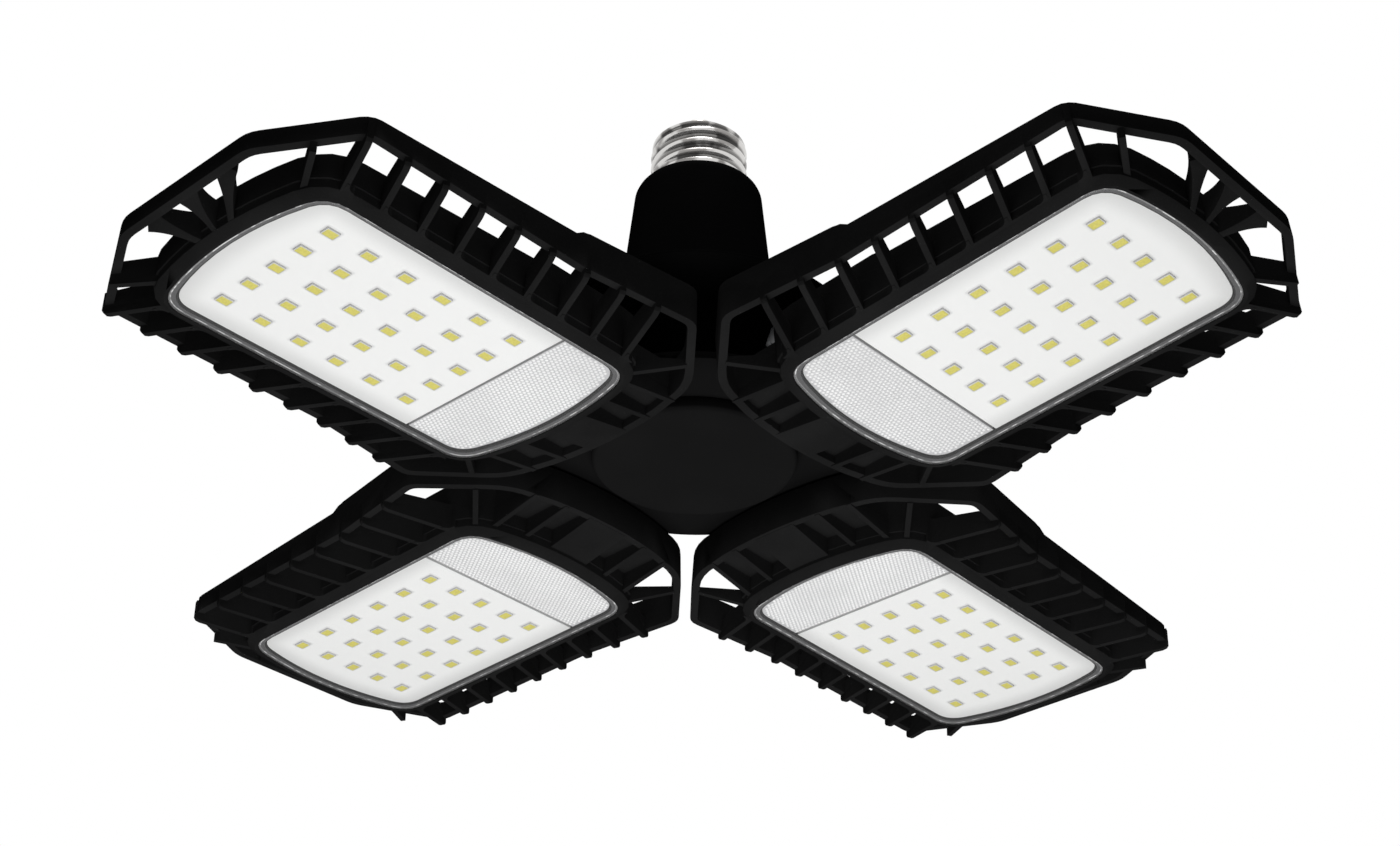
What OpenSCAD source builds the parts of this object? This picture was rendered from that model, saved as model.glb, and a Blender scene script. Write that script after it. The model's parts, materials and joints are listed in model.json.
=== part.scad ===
// Folding four-leaf garage light on an Edison screw base.
// A hub hangs from the screw base and carries four LED leaves on friction hinges.
// Origin: on the hub's axis at the foot of the screw shell, +Z up. Each leaf is drawn
// with X along its radius and Z = 0 just behind its front face, then turned to its place.

/* [Hub] */
// Height from the leaves' front plane up to the foot of the screw shell
lamp_drop = 97.5; // [92:0.5:110]
// Radius of the two hub flanges
flange_r = 42.4; // [41:0.1:43.4]
// Height of the upper flange's underside above the leaf plane
upper_flange_h = 46.5; // [42:0.5:50]
// Height of the lower flange's underside above the leaf plane
lower_flange_h = 15.4; // [15.4:0.1:16.4]
// Thickness of the lower flange
lower_flange_t = 2; // [1.5:0.1:2.4]
// Radius of the column between the flanges
column_r = 22.5; // [21:0.5:24]
// Bore radius of the column
column_bore_r = 18; // [16:0.5:19]
// Radius of the disc that closes the column's top
seat_disc_r = 31.9; // [29:0.1:34]
// Thickness of that disc
seat_disc_t = 2; // [1.5:0.1:2.2]
// Radius of the round cap under the hub
cap_r = 25.9; // [25:0.1:26]
// Depth of the cap below the lower flange
cap_depth = 4.1; // [3:0.1:5]

/* [Neck] */
// Radius of the neck where it leaves the flange
neck_foot_r = 21; // [20:0.5:24]
// Radius of the neck under its shoulder
neck_top_r = 17.25; // [16:0.25:19]
// Radius of the rounded shoulder
shoulder_r = 4; // [2:0.25:4.5]
// Wall thickness of the neck
neck_wall = 2.2; // [1.6:0.1:3]
// Rise of the sloped top of the upper flange
flange_rise = 6.6; // [5.5:0.1:8]
// Thickness of the upper flange at its edge
flange_edge = 0.8; // [0.6:0.1:1.2]

/* [Screw base] */
// Crest radius of the screw shell
shell_r = 13.1; // [12.9:0.05:13.2]
// Depth of the rolled thread
thread_depth = 0.84; // [0.6:0.02:1]
// Pitch of the thread
thread_pitch = 3.63; // [3:0.01:4.3]
// Length of the threaded stretch
thread_len = 12.6; // [12:0.1:20]
// Height of the plain skirt under the thread
skirt_len = 2.4; // [1.5:0.1:4]
// Height of the rounded end above the thread
shell_end = 2.2; // [1.5:0.1:3]
// Height of the insulator above the shell
insulator_len = 4; // [1.5:0.1:4.5]
// Radius of the centre contact
contact_r = 4.8; // [4:0.1:5.4]
// Height of the solder dome on the centre contact
contact_rise = 3; // [1.4:0.1:3.2]

/* [Leaf outline] */
// Radius from the hub's axis to the leaf's inner end
leaf_x0 = 29.7; // [29:0.1:30.4]
// Radius from the hub's axis to the leaf's outer end
leaf_x1 = 156.8; // [152:0.1:170]
// Half width of the leaf
leaf_half = 45.5; // [44:0.1:46]
// Radius at which the leaf is widest
flare_x = 52.2; // [52:0.1:54]
// Radius at which the flare ends
waist_x = 83.5; // [80:0.5:86]
// Gap between two neighbouring leaves at their mitred corners
leaf_gap = 4; // [3.6:0.1:6]
// Radius at which the outer corners start
shoulder_x = 144; // [142:0.1:146]
// Half width of the straight outer end
nose_half = 21.5; // [18:0.5:26]
// Wall thickness of the rim
rim_wall = 2; // [1.6:0.1:2.6]
// Height of the rim's lower edge above the leaf's front face
rim_base = 4.8; // [4:0.1:5]
// Height of the leaf's back over the driver
deck_h = 14.2; // [13.6:0.1:14.2]
// Height of the leaf's back just past the driver
back_h0 = 12.6; // [11.5:0.1:13.2]
// Height of the leaf's back at its shoulders
back_h1 = 9.3; // [8:0.1:10]
// How far the rim of the outer end rises past the shoulders
nose_rise = 1; // [0:0.1:2]

/* [Window] */
// Radius from the hub's axis to the window's inner end
window_x0 = 48.2; // [47.6:0.1:49]
// Radius from the hub's axis to the window's outer end
window_x1 = 144.5; // [143.6:0.1:144.8]
// Half width of the window
window_half = 28.3; // [28:0.1:28.6]
// Corner radius of the window
window_corner = 5.5; // [4:0.5:8]
// Height of the window ring's front face
ring_h = -0.2; // [-0.4:0.05:0.2]
// Thickness of the clear cover
lens_t = 0.5; // [0.4:0.05:0.6]
// Thickness of the seal behind the cover
seal_t = 0.2; // [0.1:0.05:0.3]
// Width of the seal
seal_w = 1.3; // [1:0.1:1.5]
// Clearance round the clear cover
lens_gap = 0.15; // [0.1:0.05:0.2]
// Half width of the core block behind the window
core_half = 31.5; // [31.2:0.1:32]

/* [Light source] */
// Spacing of the chips along the leaf
chip_pitch_x = 10.5; // [9:0.1:11]
// Spacing of the chips across the leaf
chip_pitch_y = 9; // [7:0.1:10]
// Radius from the hub's axis to the first row of chips
chip_x0 = 78.5; // [77:0.1:80]
// Rows of chips along the leaf
chip_rows = 6; // [4:1:6]
// Chips in each row
chips_per_row = 5; // [3:2:5]
// Length of one chip along the leaf
chip_l = 3.5; // [2.8:0.1:4]
// Length of one chip across the leaf
chip_w = 2.8; // [2:0.1:3.5]
// Height of one chip
chip_h = 0.5; // [0.3:0.05:0.6]
// Thickness of the circuit board under the chips
board_t = 1.6; // [1:0.1:1.6]
// Radius at which the circuit board starts
board_x0 = 71.2; // [71:0.1:73]
// Width of the dark line between the board and the prism panel
divider_w = 0.8; // [0.5:0.1:1.5]
// Thickness of the prism panel
prism_t = 1.5; // [1:0.1:1.8]

/* [Fins and ribs] */
// Number of fins on each long side
fin_count = 9; // [7:1:9]
// Radius at which the first fin leaves the core
fin_x0 = 57; // [56:0.1:58]
// Spacing of the fins
fin_pitch = 10.19; // [9.5:0.01:10.2]
// Thickness of a fin
fin_t = 1.45; // [1:0.05:2]
// Angle by which the fins lean towards the outer end
fin_slant = 20.9; // [10:0.1:24]
// Height of a fin's lower edge where it leaves the core
fin_root_h = 1; // [0.9:0.1:1.4]
// Height of a fin's lower edge where it meets the rim
fin_tip_h = 2.5; // [2:0.1:3]
// Depth of the fins' upper edge below the back at the shoulders
fin_drop = 0.9; // [0.4:0.1:3]
// Size of the fillet beside a fin's root
fin_fillet = 1.8; // [0.8:0.1:2.4]
// Thickness of the ribs at the two ends
rib_t = 1.4; // [1:0.1:2]
// Half width of the solid pad at the inner end
pad_half = 6.4; // [5.5:0.1:6.8]
// Spacing of the two ribs beside the pad
inner_rib_pitch = 9.3; // [8.5:0.1:9.5]

/* [Hinges] */
// Radius from the hub's axis to the hinge pins
hinge_x = 40; // [39.6:0.1:40.4]
// Height of the hinge pins above the leaf plane
hinge_h = 25.5; // [25.5:0.1:26]
// Radius of the hinge bolt
bolt_r = 2.5; // [2.2:0.1:3]
// Running clearance round the hinge bolt
bolt_gap = 0.06; // [0.02:0.01:0.1]
// Width of a hub arm
arm_w = 13.8; // [12:0.2:15]
// Outer radius of a hub arm's eye
eye_r = 5; // [4.5:0.1:5.2]
// Thickness of a friction washer
washer_t = 0.9; // [0.6:0.1:1.2]
// Running gap beside the friction washers
side_gap = 0.1; // [0.05:0.05:0.2]
// Thickness of a bracket ear
ear_t = 2.5; // [2:0.1:3]
// Thickness of the bracket's foot
foot_t = 2; // [1.5:0.1:2.4]
// Resting tilt of the front left leaf, outer end up
tilt_front_left = 0.25; // [-3:0.25:6]
// Resting tilt of the front right leaf, outer end up
tilt_front_right = 5.5; // [-3:0.25:6]
// Resting tilt of the rear left leaf, outer end up
tilt_rear_left = -1.75; // [-3:0.25:6]
// Resting tilt of the rear right leaf, outer end up
tilt_rear_right = -1.75; // [-3:0.25:6]

/* [Driver] */
// Radius at which the driver's pocket starts
pocket_x0 = 57; // [56.5:0.1:58]
// Radius at which the driver's pocket ends
pocket_x1 = 78.5; // [76:0.1:79]
// Half width of the driver's pocket
pocket_half = 22.5; // [18:0.5:23]
// Height of the pocket's floor
pocket_floor = 5; // [4.6:0.1:6]
// Thickness of the driver's cover
cover_t = 1.8; // [1.4:0.1:2.2]
// Shank radius of the screws
screw_r = 1.5; // [1.3:0.05:1.6]
// Head radius of the screws
screw_head_r = 2.8; // [2.4:0.1:3]
// Head height of the screws
screw_head_t = 1.6; // [1.2:0.1:2]

/* [Hidden] */
$fn = 64;
eps = 0.01;

lens_base = ring_h + 0.05;
seal_base = lens_base + lens_t;
pocket_base = seal_base + seal_t;
chip_base = pocket_base - 0.05;
board_base = chip_base + chip_h;
board_top = board_base + board_t;
core_bevel = 1.2;
ledge_h = 3.3;
ledge_w = 0.4;
seal_edge = seal_w + 0.3;
deck_step = 3;
cover_edge = 3.4;
cover_inset = 3.3;
cover_gap = 0.2;
cover_base = deck_h - cover_t;
inner_web_h = 7;
screw_inset = 3.6;
screw_len = 7;
tap_r = screw_r + 0.03;
lead_x = leaf_x0 + 7.6;
lead_h = 9;
lead_r = 2.4;
clear_r = screw_r + 0.25;

arm_half = arm_w / 2;
washer_y = arm_half;
ear_y = washer_y + washer_t + side_gap;
ear_end = ear_y + ear_t;
ear_r = eye_r + 0.2;
foot_x0 = flange_r + 2.1;
foot_len = 8.5;
foot_x1 = foot_x0 + foot_len;
foot_half = ear_end + 6.5;
foot_screw_x = foot_x0 + foot_len / 2;
foot_screw_y = ear_end + screw_head_r + 0.4;
bolt_head_r = 4.4;
bolt_head_t = 2.8;
nut_t = 3;
nut_r = 4.6;

neck_foot_h = upper_flange_h + flange_edge + flange_rise;
neck_top_h = lamp_drop;
shell_bore_r = shell_r - thread_depth - 0.6;
spigot_h = 4;
spigot_r = shell_bore_r - 0.3;
shell_top = skirt_len + thread_len + shell_end;
hub_screw_r = (column_r + column_bore_r) / 2;
plate_top_h = lower_flange_h + lower_flange_t;
cap_wall = 1.8;
junction_drop = 12;
junction_t = 1.6;
terminal = [6, 8, 7];

AZIMUTH = [225, 315, 135, 45];
TILT = [tilt_front_left, tilt_front_right, tilt_rear_left, tilt_rear_right];

// ---- Outlines ----

// A half outline with y >= 0, run from the inner end to the outer end, and its mirror
function both_sides(half) = concat(
    [for (p = half) if (p[1] > 0) [p[0], -p[1]]],
    [for (i = [len(half) - 1:-1:0]) half[i]]);

function unit(v) = v / norm(v);
function inward(a, b) = let (d = unit(b - a)) [-d[1], d[0]];

// Corner i of a closed outline moved inwards by d
function inset_corner(pts, i, d) =
    let (n = len(pts), p = pts[i],
        n1 = inward(pts[(i + n - 1) % n], p),
        n2 = inward(p, pts[(i + 1) % n]))
    p + (n1 + n2) * d / (1 + n1 * n2);
function inset(pts, d) = [for (i = [0:len(pts) - 1]) inset_corner(pts, i, d)];

// Depth of an arc of half width w and rise s, at distance y from its middle
function sag(w, s, y) = let (r = (w * w + s * s) / (2 * s)) r - sqrt(r * r - y * y);
function curve(a, b, c, t) = a * (1 - t) * (1 - t) + b * 2 * t * (1 - t) + c * t * t;

// Long pane with bowed ends: x0 to x1, half width w, end rises s0 and s1, corner r
function pane(x0, x1, w, s0, s1, r, steps = 4) =
    let (y = w - r,
        a0 = [x0 + sag(w, s0, y), y], a1 = [x0 + s0, w], a2 = [x0 + s0 + r, w],
        b0 = [x1 - s1 - r, w], b1 = [x1 - s1, w], b2 = [x1 - sag(w, s1, y), y])
    both_sides(concat(
        [for (i = [0:steps - 1]) [x0 + sag(w, s0, y * i / steps), y * i / steps]],
        [for (i = [0:steps]) curve(a0, a1, a2, i / steps)],
        [for (i = [0:steps]) curve(b0, b1, b2, i / steps)],
        [for (i = [steps - 1:-1:0]) [x1 - sag(w, s1, y * i / steps), y * i / steps]]));

window_rise = 4.5;
function window_pane(d) = pane(window_x0 + d, window_x1 - d, window_half - d,
    window_rise, window_rise, window_corner - d / 2);

core_rim = core_half - window_half;
core_x0 = window_x0 - core_rim - 0.1;
core_x1 = window_x1 + core_rim - 0.2;
function core_pane(d) = pane(core_x0 + d, core_x1 - d, core_half - d,
    window_rise + 1, window_rise + 0.4, window_corner + 3);

// Corner b of the path a, b, c cut back by r and rounded
function soften(a, b, c, r, steps = 3) =
    let (p = b + unit(a - b) * r, q = b + unit(c - b) * r)
    [for (i = [0:steps]) curve(p, b, q, i / steps)];

// Mitred corner: the leaf's edge runs beside the line y = x
mitre = leaf_gap / sqrt(2);
heel_half = 24;
heel_rise = 2.6;
heel = [leaf_x0 + heel_rise, heel_half];
heel_corner = [leaf_x0 + heel_rise + 2.3, leaf_x0 + heel_rise + 2.3 - mitre];
flare = [flare_x, flare_x - mitre];
waist = [waist_x, leaf_half];
shoulder = [shoulder_x, leaf_half];
nose = [leaf_x1, nose_half];
LEAF_HALF = concat(
    [for (y = [0:heel_half / 4:heel_half - 1]) [leaf_x0 + sag(heel_half, heel_rise, y), y]],
    soften(heel, heel_corner, flare, 5), soften(heel_corner, flare, waist, 2.5), [waist],
    soften(waist, shoulder, nose, 2.6), soften(shoulder, nose, [leaf_x1, 0], 2.6),
    [[leaf_x1, 0]]);
LEAF = both_sides(LEAF_HALF);

function rim_half(x) = x < waist_x
    ? flare_x - mitre + (leaf_half - flare_x + mitre) * (x - flare_x) / (waist_x - flare_x)
    : leaf_half;
function past_shoulder(x) = nose_rise * (x - shoulder_x) / (leaf_x1 - shoulder_x);
function back_at(x) = x > shoulder_x ? back_h1 + past_shoulder(x)
    : back_h0 + (back_h1 - back_h0) * (x - waist_x) / (shoulder_x - waist_x);
function rim_low(x) = rim_base + (x > shoulder_x ? past_shoulder(x) : 0);
fin_top_h = back_h1 - fin_drop;

// ---- Solids shared by several parts ----

module slab(pts, h0, h1) {
    translate([0, 0, h0]) linear_extrude(h1 - h0) polygon(pts);
}

// Frustum between two outlines with equally many points
module loft(a, b, h0, h1) {
    n = len(a);
    polyhedron(
        points = concat([for (p = a) [p[0], p[1], h0]], [for (p = b) [p[0], p[1], h1]]),
        faces = concat(
            [[for (i = [0:n - 1]) i]],
            [[for (i = [2 * n - 1:-1:n]) i]],
            [for (i = [0:n - 1]) [i, n + i, n + (i + 1) % n]],
            [for (i = [0:n - 1]) [i, n + (i + 1) % n, (i + 1) % n]]));
}

// Everything below the leaf's back
module below_back() {
    rotate([90, 0, 0])
        linear_extrude(2 * flare[1] + 2, center = true)
            polygon([[0, -9], [0, deck_h], [waist_x - 1, deck_h],
                [waist_x + 1, deck_h - 0.4], [waist_x + deck_step, back_at(waist_x + deck_step)],
                [shoulder_x, back_h1], [leaf_x1 + 1, back_at(leaf_x1 + 1)], [leaf_x1 + 1, -9]]);
}

// Everything above the rim's lower edge
module above_rim() {
    rotate([90, 0, 0])
        linear_extrude(2 * flare[1] + 2, center = true)
            polygon([[0, rim_base], [shoulder_x, rim_base], [leaf_x1 + 1, rim_low(leaf_x1 + 1)],
                [leaf_x1 + 1, deck_h + 1], [0, deck_h + 1]]);
}

// Thin wall from a to b in plan; its lower edge runs from height ha to hb
module web(a, b, t, ha, hb, top) {
    d = b - a;
    translate([a[0], a[1], 0])
        rotate([90, 0, atan2(d[1], d[0])])
            linear_extrude(t, center = true)
                polygon([[0, ha], [norm(d), hb], [norm(d), top], [0, top]]);
}

// Outline of a rib that widens like a trumpet from width w0 at a to w1 at b
function trumpet(a, b, w0, w1, steps = 8) =
    let (d = unit(b - a), side = [-d[1], d[0]])
    [for (s = [-1, 1], i = s < 0 ? [0:steps] : [steps:-1:0])
        a + (b - a) * i / steps + side * s * (w0 + (w1 - w0) * pow(i / steps, 2.6)) / 2];

module screw(len) {
    translate([0, 0, -len]) cylinder(r = screw_r, h = len + eps);
    difference() {
        cylinder(r = screw_head_r, h = screw_head_t);
        for (a = [0, 90]) rotate([0, 0, a])
            translate([0, 0, screw_head_t])
                cube([screw_head_r * 1.2, 0.7, 1.2], center = true);
    }
}

// Places a leaf's part on the hub
module on_hub(k) {
    rotate([0, 0, AZIMUTH[k]])
        translate([hinge_x, 0, hinge_h - lamp_drop])
            rotate([0, -TILT[k], 0])
                translate([-hinge_x, 0, -hinge_h])
                    children();
}

// ---- Leaf ----

module fin(i, s) {
    root = [fin_x0 + i * fin_pitch, core_half - 1.5];
    run = 1 / cos(fin_slant);
    reach = rim_half(root[0] + (leaf_half - core_half) * tan(fin_slant)) - root[1] - 0.1;
    len = reach * run;
    slope = (fin_tip_h - fin_root_h) / ((leaf_half - core_half) * run);
    tip = fin_root_h + slope * len;
    mirror([0, s < 0 ? 1 : 0, 0])
        translate([root[0] - 1.5 * tan(fin_slant), root[1], 0])
            rotate([90, 0, 90 - fin_slant])
                linear_extrude(fin_t, center = true)
                    polygon([[0, fin_root_h], [len - 1.6, tip - 1.6 * slope],
                        [len - 0.5, tip + 0.25], [len, tip + 1],
                        [len, fin_top_h], [0, fin_top_h]]);
    // Fillet between the fin's inner side and the core
    corner = [root[0] - fin_t / 2 * run, core_half];
    from = corner - [fin_fillet, 0];
    to = corner + fin_fillet * [sin(fin_slant), cos(fin_slant)];
    mirror([0, s < 0 ? 1 : 0, 0])
        slab(concat([from - [0, 0.5]], [for (t = [0:0.25:1]) curve(from, corner, to, t)],
            [to + [fin_t / 2, 0], corner + [fin_t / 2, -0.5]]), fin_root_h + 0.15, fin_top_h - 0.1);
}

// Three flared ribs of the outer end; their lower faces run up from the core to the rim
module nose_ribs() {
    end_x = leaf_x1 - rim_wall / 2;
    intersection() {
        union() {
            slab(trumpet([core_x1 - 1, 0], [end_x, 0], rib_t, 7.5), 0, fin_top_h);
            for (s = [-1, 1])
                slab(trumpet([core_x1 - 1.6, s * 4.2], [end_x, s * 13.1], rib_t, 6), 0, fin_top_h);
        }
        rotate([90, 0, 0])
            linear_extrude(2 * nose_half, center = true)
                polygon([[core_x1 - 4, core_bevel + 0.15], [core_x1, core_bevel + 0.15],
                    [leaf_x1 - rim_wall, rim_low(leaf_x1 - rim_wall) + 0.05],
                    [leaf_x1, rim_low(leaf_x1) + 0.05], [leaf_x1, deck_h], [core_x1 - 4, deck_h]]);
    }
}

module ribs() {
    for (s = [-1, 1]) {
        // Straight ribs of the inner end
        for (i = [0, 1]) {
            y = s * (pad_half + 7.7 + i * inner_rib_pitch);
            web([leaf_x0 + 1.4 + i * 1.3, y], [core_x0 + 4, y], rib_t,
                rim_base - 0.2, core_bevel + 0.7, rim_base + 2.2);
        }
        // Rib to the mitred corner
        web([core_x0 + 6.5, s * (core_half - 4.5)],
            [heel_corner[0] + 6.9, s * (heel_corner[1] + 4.4)],
            rib_t, core_bevel + 0.2, rim_base - 0.4, rim_base + 1.2);
        // Ribs of the outer end
        web([core_x1 - 5.5, s * nose_half], [shoulder_x + 5.4, s * (leaf_half - 11)],
            rib_t, core_bevel + 0.2, fin_tip_h, fin_top_h);
    }
    nose_ribs();
    // Solid pad at the inner end
    rotate([90, 0, 0])
        linear_extrude(2 * pad_half, center = true)
            polygon([[leaf_x0 + 1, rim_base - 0.1], [core_x0 + 1, core_bevel + 0.7],
                [core_x0 + 1, deck_h], [leaf_x0 + 1, deck_h]]);
    // Web over the inner pockets, which carries the hinge
    slab([[leaf_x0 + 1, -pad_half], [heel[0] + 0.5, -heel_half], [core_x0 + 5, -heel_half],
        [core_x0 + 5, heel_half], [heel[0] + 0.5, heel_half], [leaf_x0 + 1, pad_half]],
        inner_web_h, deck_h);
}

module frame_body() {
    loft(window_pane(-0.8), core_pane(0), ring_h, core_bevel);
    intersection() {
        union() {
            slab(core_pane(0), core_bevel, deck_h + 1);
            slab(core_pane(-ledge_w), ledge_h, deck_h + 1);
            intersection() {
                linear_extrude(deck_h + 1)
                    difference() {
                        polygon(LEAF);
                        polygon(inset(LEAF, rim_wall));
                    }
                above_rim();
            }
        }
        below_back();
    }
    for (s = [-1, 1], i = [0:fin_count - 1]) fin(i, s);
    ribs();
}

module groove(x0, x1, y, w) {
    translate([x0, y - w / 2, pocket_floor + 1]) cube([x1 - x0, w, deck_h]);
}

cover_x0 = pocket_x0 - cover_edge;
cover_x1 = pocket_x1 + cover_edge;
cover_half = core_half - cover_inset + 1;
function cover_screws() = [for (x = [cover_x0 + 2.3, cover_x1 - 2.3], s = [-1, 1])
    [x, s * (cover_half - screw_inset)]];
function foot_screws() = [for (s = [-1, 1]) [foot_screw_x, s * foot_screw_y]];

module leaf_frame() {
    groove_pitch = 6.6;
    color("#141416")
        difference() {
            frame_body();
            slab(window_pane(-lens_gap), -1, pocket_base);
            slab(window_pane(seal_edge), lens_base, board_top + 0.05);
            // Driver pocket and the seat of its cover
            translate([pocket_x0, -pocket_half, pocket_floor])
                cube([pocket_x1 - pocket_x0, 2 * pocket_half, deck_h]);
            translate([cover_x0 - cover_gap, -cover_half - cover_gap, cover_base])
                cube([cover_x1 - cover_x0 + 2 * cover_gap, 2 * (cover_half + cover_gap), deck_h]);
            // Cooling grooves in the back
            for (i = [-4:4])
                groove(waist_x + 5, core_x1 - 4 - abs(i) * 0.6, i * groove_pitch, groove_pitch - 1.8);
            // Screw holes, the lead's way in and the wire hole to the chips
            for (p = cover_screws()) translate([p[0], p[1], cover_base - screw_len])
                cylinder(r = tap_r, h = screw_len + 1);
            for (p = foot_screws()) translate([p[0], p[1], deck_h - screw_len])
                cylinder(r = tap_r, h = screw_len + 1);
            translate([lead_x, 0, lead_h]) rotate([0, 90, 0])
                cylinder(r = lead_r, h = pocket_x0 - lead_x + 1);
            translate([lead_x, 0, lead_h]) cylinder(r = lead_r, h = deck_h);
            translate([pocket_x1 - 4, 0, 1]) cylinder(r = 2, h = pocket_floor);
        }
}

module leaf_lens() {
    color([0.92, 0.94, 0.95, 0.4]) slab(window_pane(0), lens_base, seal_base);
}

module leaf_lens_seal() {
    color("#9a9c9e")
        translate([0, 0, seal_base])
            linear_extrude(seal_t)
                difference() {
                    polygon(window_pane(0));
                    polygon(window_pane(seal_w));
                }
}

module board_area(x0, x1, h0, h1) {
    intersection() {
        slab(window_pane(seal_edge + 0.2), h0, h1);
        translate([x0, -window_half, h0 - 1]) cube([x1 - x0, 2 * window_half, h1 - h0 + 2]);
    }
}

module leaf_prism_panel() {
    color("#e6e7e8")
        board_area(window_x0, board_x0 - divider_w, board_top - prism_t, board_top);
}

module leaf_led_board() {
    color("#f4f5f2") board_area(board_x0, window_x1, board_base, board_top);
}

module leaf_led_chips() {
    color("#d8d060")
        for (i = [0:chip_rows - 1], j = [0:chips_per_row - 1])
            translate([chip_x0 + i * chip_pitch_x - chip_l / 2,
                (j - (chips_per_row - 1) / 2) * chip_pitch_y - chip_w / 2, chip_base])
                cube([chip_l, chip_w, chip_h]);
}

module leaf_driver_board() {
    x0 = pocket_x0 + 0.8;
    x1 = pocket_x1 - 0.8;
    half = pocket_half - 0.8;
    base = pocket_floor + 1.2;
    room = cover_base - base - 0.6;
    color("#2f6b3a") {
        translate([x0, -half, base]) cube([x1 - x0, 2 * half, 1.2]);
        for (x = [x0 + 2, x1 - 2], s = [-1, 1])
            translate([x, s * (half - 2), pocket_floor]) cylinder(r = 1.2, h = 1.2 + eps);
        // Two chokes, a storage capacitor lying down and a regulator
        for (s = [-1, 1]) translate([x0 + 5.5, s * 13, base]) cylinder(r = 3.6, h = room);
        translate([x1 - 5.4, -8, base + room - 2.7]) rotate([-90, 0, 0]) cylinder(r = 2.7, h = 16);
        translate([x1 - 8.1, -7, base + 1]) cube([5.4, 14, room - 3]);
        translate([x0 + 3, -4, base]) cube([5, 8, room - 1]);
    }
}

module leaf_driver_cover() {
    color("#17171a")
        difference() {
            translate([cover_x0, -cover_half, cover_base])
                cube([cover_x1 - cover_x0, 2 * cover_half, cover_t]);
            for (p = cover_screws()) translate([p[0], p[1], cover_base - 1])
                cylinder(r = clear_r, h = cover_t + 2);
        }
}

module leaf_leaf_screws() {
    color("#8d9094") {
        for (p = cover_screws()) translate([p[0], p[1], deck_h]) screw(screw_len);
        for (p = foot_screws()) translate([p[0], p[1], deck_h + foot_t]) screw(screw_len);
    }
}

// Where a line from p touches a circle round c; side is 1 or -1
function touch(p, c, r, side) =
    let (d = c - p, a = atan2(d[1], d[0]) + side * asin(r / norm(d)))
    p + sqrt(d * d - r * r) * [cos(a), sin(a)];

module ear() {
    pin = [hinge_x, hinge_h];
    sunk = foot_t / 4;
    low = [foot_x0 + sunk, deck_h + sunk];
    far = [foot_x1 - sunk, deck_h + foot_t - sunk];
    rotate([90, 0, 0])
        linear_extrude(ear_t)
            difference() {
                union() {
                    translate(pin) circle(r = ear_r);
                    polygon([low, [far[0], low[1]], far, touch(far, pin, ear_r, -1), pin,
                        touch(low, pin, ear_r, 1)]);
                }
                translate(pin) circle(r = bolt_r + bolt_gap);
            }
}

module leaf_hinge_bracket() {
    color("#1b1b1e") {
        difference() {
            translate([foot_x0, -foot_half, deck_h]) cube([foot_len, 2 * foot_half, foot_t]);
            for (p = foot_screws()) translate([p[0], p[1], deck_h - 1])
                cylinder(r = clear_r, h = foot_t + 2);
        }
        translate([0, -ear_y, 0]) ear();
        translate([0, ear_end, 0]) ear();
    }
}

module leaf_hinge_bolt() {
    color("#6f7276")
        translate([hinge_x, 0, hinge_h])
            rotate([90, 0, 0]) {
                translate([0, 0, -ear_end - bolt_head_t]) {
                    difference() {
                        cylinder(r = bolt_head_r, h = bolt_head_t);
                        translate([0, 0, -1]) cylinder(r = 1.7, h = 2.6, $fn = 6);
                    }
                    translate([0, 0, bolt_head_t - 1])
                        cylinder(r = bolt_r, h = 2 * ear_end + nut_t + 2);
                }
            }
}

module leaf_hinge_nut() {
    color("#7a7d81")
        translate([hinge_x, -ear_end, hinge_h])
            rotate([90, 0, 0])
                difference() {
                    cylinder(r = nut_r, h = nut_t, $fn = 6);
                    translate([0, 0, -1]) cylinder(r = bolt_r + 0.02, h = nut_t + 2);
                }
}

// ---- Hub ----

module at_leaf_plane() {
    translate([0, 0, -lamp_drop]) children();
}

module hub_body() {
    color("#1d1d20")
        at_leaf_plane()
            difference() {
                union() {
                    translate([0, 0, plate_top_h])
                        cylinder(r = column_r, h = upper_flange_h - plate_top_h + eps);
                    translate([0, 0, upper_flange_h]) cylinder(r = seat_disc_r, h = seat_disc_t);
                    for (a = AZIMUTH) rotate([0, 0, a]) {
                        translate([column_bore_r + 1, -arm_half, hinge_h - 4])
                            cube([hinge_x - column_bore_r - 1, arm_w, 8]);
                        translate([hinge_x, arm_half, hinge_h]) rotate([90, 0, 0])
                            cylinder(r = eye_r, h = arm_w);
                    }
                }
                translate([0, 0, plate_top_h - 1])
                    cylinder(r = column_bore_r, h = upper_flange_h + seat_disc_t);
                for (a = AZIMUTH) rotate([0, 0, a]) {
                    translate([hinge_x, arm_half + 1, hinge_h]) rotate([90, 0, 0])
                        cylinder(r = bolt_r + bolt_gap, h = arm_w + 2);
                    // Way out for the leaf's lead, under the arm
                    translate([0, 0, plate_top_h + 2]) rotate([0, 90, 0])
                        cylinder(r = 1.5, h = column_r + 1);
                }
                for (a = [0:90:270]) rotate([0, 0, a]) translate([hub_screw_r, 0, plate_top_h - 1])
                    cylinder(r = tap_r, h = screw_len + 1);
            }
}

module lower_flange() {
    notch_x = hinge_x - 1;
    color("#1a1a1c")
        at_leaf_plane()
            difference() {
                union() {
                    translate([0, 0, lower_flange_h]) cylinder(r = flange_r, h = lower_flange_t);
                    translate([0, 0, lower_flange_h])
                        cylinder(r = column_bore_r - 0.2, h = lower_flange_t + 3);
                }
                translate([0, 0, lower_flange_h - 1])
                    cylinder(r = column_bore_r - 3, h = lower_flange_t + 5);
                for (a = AZIMUTH) rotate([0, 0, a])
                    translate([notch_x, -ear_end - 1, lower_flange_h - 1])
                        cube([flange_r, 2 * (ear_end + 1), lower_flange_t + 2]);
                for (a = [0:90:270]) rotate([0, 0, a]) translate([hub_screw_r, 0, lower_flange_h - 1])
                    cylinder(r = clear_r, h = lower_flange_t + 2);
            }
}

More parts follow.
